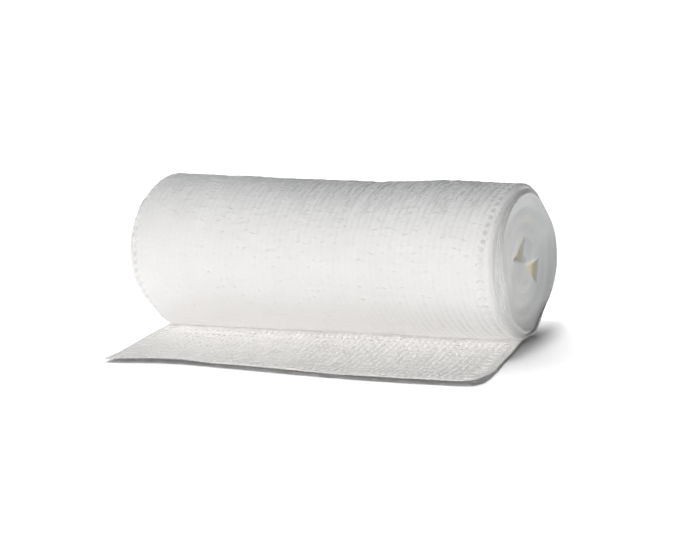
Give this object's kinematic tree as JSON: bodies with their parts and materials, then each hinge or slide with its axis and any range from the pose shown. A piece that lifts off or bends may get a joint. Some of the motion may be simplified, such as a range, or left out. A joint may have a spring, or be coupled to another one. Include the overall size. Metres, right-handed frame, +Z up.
{
  "type": "gauze bandage roll",
  "caption": "Knitted gauze bandage wound into a soft roll that lies on its side, with its loose end laid out flat in front.",
  "frame": {"origin": "middle of the footprint, on the surface that the bandage lies on", "axes": "+X along the roll's axis towards the end with the two open folds, +Z up, and the loose end runs out towards -Y"},
  "size_m": [0.1046, 0.0566, 0.0387],
  "materials": {
    "gauze_wound": "matt open-knitted white cotton gauze, wound in many turns",
    "gauze_sheet": "matt open-knitted white cotton gauze, one layer"
  },
  "bodies": {
    "root": {"roll": "gauze_wound", "loose_end": "gauze_sheet"}
  },
  "joints": []
}
